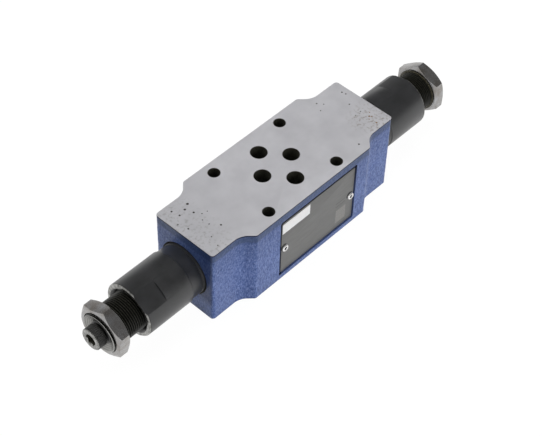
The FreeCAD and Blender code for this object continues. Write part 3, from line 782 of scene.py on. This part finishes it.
bright_bar = new_finish("bright bar", (0.36, 0.355, 0.35), 0.27, 0.9)
wire(bright_bar, tones(bright_bar, grain(bright_bar, 4 * mm, 4.0),
                       (0.3, (0.255, 0.235, 0.215)), (0.7, (0.385, 0.385, 0.39))), "Base Color")
relief(bright_bar, grain(bright_bar, 0.3 * mm, 3.0, (0.12, 1, 1)), 0.006 * mm)

for end in ends:
    back = nut_backs[end]
    stop = back + nut_thickness
    nut = cut_bar("nut_blank_" + end, (block_middle + (back + stop) / 2 * mm, 0, axis_height),
                  nut_thickness * mm, corner * mm, 6, along_x)
    first = nut.data.vertices[0].co
    swing = math.radians(nut_turns[end]) - math.atan2(first.z - axis_height, first.y)
    bpy.ops.object.mode_set(mode="EDIT")
    bpy.ops.mesh.select_all(action="SELECT")
    bpy.ops.transform.rotate(value=-swing, orient_axis="X", center_override=(0, 0, axis_height))
    bpy.ops.object.mode_set(mode="OBJECT")
    nut.data.materials.append(bright_bar)
    cone = turned("cone", [
        (back, 0), (back, chamfer_r), (back + chamfer_depth, beyond_corner),
        (stop - chamfer_depth, beyond_corner), (stop, chamfer_r), (stop, 0)])
    machine(nut, cone, bright_bar, "INTERSECT")
    hole = turned("hole", [
        (back - 1, 0), (back - 1, ring_seat_r), (back + ring_seat_depth, ring_seat_r),
        (back + ring_seat_depth, nut_bore_r), (stop - 0.4, nut_bore_r), (stop, nut_mouth_r),
        (stop + 1, nut_mouth_r), (stop + 1, 0)])
    machine(nut, hole, bright_bar)
    finish_with(nut, "BEVEL", width=0.07 * mm, segments=2, limit_method="ANGLE",
                angle_limit=math.radians(24))
    smooth(to_end(nut, end), 22)
    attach(nut, "lock_nut_" + end)
    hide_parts("lock_nut_" + end)

dark_plastic = new_finish("dark plastic", (0.11, 0.10, 0.07), 0.5)
speckled(dark_plastic, 0.7 * mm, 3.0, (0.075, 0.067, 0.045), (0.15, 0.137, 0.095), 0.01 * mm)
for end in ends:
    dress("nut_ring_" + end, dark_plastic)

# Adjusting screws
# Blackened socket screws with a straight knurl round the head. The rim of the head is rubbed
# bright by the key. A dark ring nut behind the head jams each screw in its plug.
screw_fronts = {"a": 106.3, "b": 102.8}
screw_length = 40
screw_r = 3.0
head_length = 4.6
head_r = 5.0
knurls = 40
knurl_depth = 0.955
socket_across = 5.0
socket_depth = 2.6
black_screw = new_finish("black screw", (0.02, 0.02, 0.02), 0.38)
speckled(black_screw, 0.6 * mm, 3.0, (0.016, 0.016, 0.016), (0.045, 0.045, 0.043), 0.01 * mm, 0.6)


def in_groove(vertex):
    """Whether a vertex of the head lies at the bottom of one of the knurl's grooves."""
    angle = math.atan2(vertex.co.z - axis_height, vertex.co.y) / (2 * math.pi / knurls)
    return abs(angle - round(angle)) < 0.1


for end in ends:
    front = screw_fronts[end]
    neck = front - head_length
    head = cut_bar("screw_head_" + end, (block_middle + (neck + front) / 2 * mm, 0, axis_height),
                   head_length * mm, head_r * mm, 3 * knurls, along_x)
    bpy.ops.object.mode_set(mode="EDIT")
    choose(head, "VERT", in_groove)
    bpy.ops.transform.resize(value=(1, knurl_depth, knurl_depth),
                             center_override=(0, 0, axis_height))
    bpy.ops.object.mode_set(mode="OBJECT")
    head.data.materials.append(black_screw)
    head.data.materials.append(bare_edge)
    cone = turned("cone", [(neck - 1, 0), (neck - 1, 4.6), (neck, 4.6), (neck + 0.4, 5.1),
                           (front - 0.45, 5.1), (front, 4.6), (front, 0)])
    machine(head, cone, black_screw, "INTERSECT")
    socket = cut_bar("socket", (block_middle + front * mm, 0, axis_height), 2 * socket_depth * mm,
                     socket_across / math.sqrt(3) * mm, 6, along_x)
    machine(head, socket, oiled_bore)
    mouth = turned("mouth", [(front - 0.5, 0), (front - 0.5, 2.45), (front + 0.1, 3.05),
                             (front + 0.1, 0)], 48)
    machine(head, mouth, bare_edge)
    shaft = turned("shaft", [
        (front - screw_length, 0), (front - screw_length, screw_r - 0.4),
        (front - screw_length + 0.4, screw_r), (neck + 0.3, screw_r), (neck + 0.3, 0)], 64)
    machine(head, shaft, black_screw, "UNION")
    for face in head.data.polygons:
        along = (face.center.x - block_middle) / mm
        if along > front - 0.44 and face.normal.x > 0.5:
            face.material_index = list(head.data.materials).index(bare_edge)
    smooth(to_end(head, end), 15)
    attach(head, "adjuster_" + end)
    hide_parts("adjusting_screw_" + end)

    seat = plug_fronts[end] - dish_depth
    ring = turned("jam_nut_" + end, [
        (seat, screw_fit_r), (seat, 5.2), (seat + 0.2, 5.4), (seat + 1.95, 5.4),
        (seat + 2.2, 5.15), (seat + 2.2, 3.4), (seat + 1.85, screw_fit_r)], 96)
    ring.data.materials.append(black_screw)
    smooth(to_end(ring, end), 30)
    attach(ring, "adjuster_" + end)
    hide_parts("jam_ring_" + end)

# Parts inside the cartridges
# Hardened and ground seat bushes and poppets, drawn wire springs and turned spring plates. None
# of them shows, but each has its own finish.
hard_steel = new_finish("hardened steel", (0.50, 0.50, 0.51), 0.22, 1.0)
speckled(hard_steel, 0.3 * mm, 2.0, (0.44, 0.44, 0.45), (0.56, 0.56, 0.57), 0.004 * mm,
         stretch=(1, 0.05, 0.05))
spring_wire = new_finish("spring wire", (0.30, 0.30, 0.31), 0.35, 0.9)
speckled(spring_wire, 0.4 * mm, 2.0, (0.22, 0.22, 0.23), (0.36, 0.36, 0.37), 0.005 * mm)
for end in ends:
    for name in ("seat_bush_", "poppet_", "spring_plate_"):
        dress(name + end, hard_steel)
    dress("relief_spring_" + end, spring_wire)

# Table, light and camera
# A white table in a dim room with a white backdrop. Metal mirrors a sky that darkens upward and
# toward the B end, but none of the four soft lamps, which leave the A end in shade. The camera
# stands where the photograph was taken from.
camera_share = 0.93
table_glow = 1.04
table_tone = (0.85, 0.85, 0.85, 1)
room_tone = (0.09, 0.09, 0.094, 1)
sky_lean = 0.35
sky_stops = ((0.08, 1.0), (0.5, 0.16))
white = (1, 1, 1, 1)

bpy.ops.object.select_all(action="DESELECT")
bpy.ops.mesh.primitive_plane_add(size=3, location=(0, 0, -0.2 * mm))
table = bpy.context.object
table.name = "table"
table_white = bpy.data.materials.new("table white")
table_white.use_nodes = True
table_white.node_tree.nodes.clear()
# The camera sees mostly the glow and a little of the shadow, and metal mirrors the glow alone.
seen = add_node(table_white, "LightPath")
camera_part = calculate(table_white, "MULTIPLY", (seen, "Is Camera Ray"), camera_share)
glow_part = calculate(table_white, "MAXIMUM", camera_part, (seen, "Is Glossy Ray"))
matt = add_node(table_white, "BsdfDiffuse", table_tone)
glow = add_node(table_white, "Emission", white, table_glow)
top_side = add_node(table_white, "MixShader", glow_part, (matt, 0), (glow, 0))
facing = add_node(table_white, "NewGeometry")
clear = add_node(table_white, "BsdfTransparent")
one_sided = add_node(table_white, "MixShader", (facing, "Backfacing"), (top_side, 0), (clear, 0))
add_node(table_white, "OutputMaterial", (one_sided, 0))
table.data.materials.append(table_white)

world = bpy.data.worlds.new("studio")
bpy.context.scene.world = world
world.use_nodes = True
world.node_tree.nodes.clear()
seen = add_node(world, "LightPath")
heading = add_node(world, "TexCoord")
split = add_node(world, "SeparateXYZ", (heading, "Generated"))
climb = calculate(world, "MULTIPLY_ADD", (split, "X"), sky_lean, (split, "Z"))
fade = tones(world, climb, *[(place, (level, level, level)) for place, level in sky_stops])
mirrored_sky = add_node(world, "Background", fade)
room = add_node(world, "Background", room_tone)
backdrop = add_node(world, "Background", white)
unseen = add_node(world, "MixShader", (seen, "Is Glossy Ray"), (room, 0), (mirrored_sky, 0))
choice = add_node(world, "MixShader", (seen, "Is Camera Ray"), (unseen, 0), (backdrop, 0))
add_node(world, "OutputWorld", (choice, 0))


def soft_lamp(name, place, size, power):
    """Square lamp that faces the middle of the valve and isn't mirrored in the metal."""
    bpy.ops.object.light_add(type="AREA", location=place)
    lamp = bpy.context.object
    lamp.name = name
    lamp.data.size = size
    lamp.data.energy = power
    lamp.visible_glossy = False
    aim = table.location - lamp.location
    lamp.rotation_mode = "QUATERNION"
    lamp.rotation_quaternion = aim.to_track_quat("-Z", "Y")


soft_lamp("back lamp", (0.05, 0.75, 0.45), 0.5, 1.6)
soft_lamp("right lamp", (0.05, -0.80, 0.30), 0.5, 3.1)
soft_lamp("top lamp", (0.06, 0.05, 0.95), 0.6, 5.2)
soft_lamp("left lamp", (-0.40, 0.45, 0.60), 0.4, 1.8)

bpy.ops.object.camera_add(location=(-0.317265, -0.280392, 0.478497),
                          rotation=[math.radians(a) for a in (41.8998, -1.3313, -46.8167)])
camera = bpy.context.object
camera.data.sensor_width = 36
camera.data.lens = 97.41
camera.data.clip_start = 0.01
camera.data.clip_end = 20
bpy.context.scene.camera = camera
bpy.context.scene.view_settings.view_transform = "Standard"
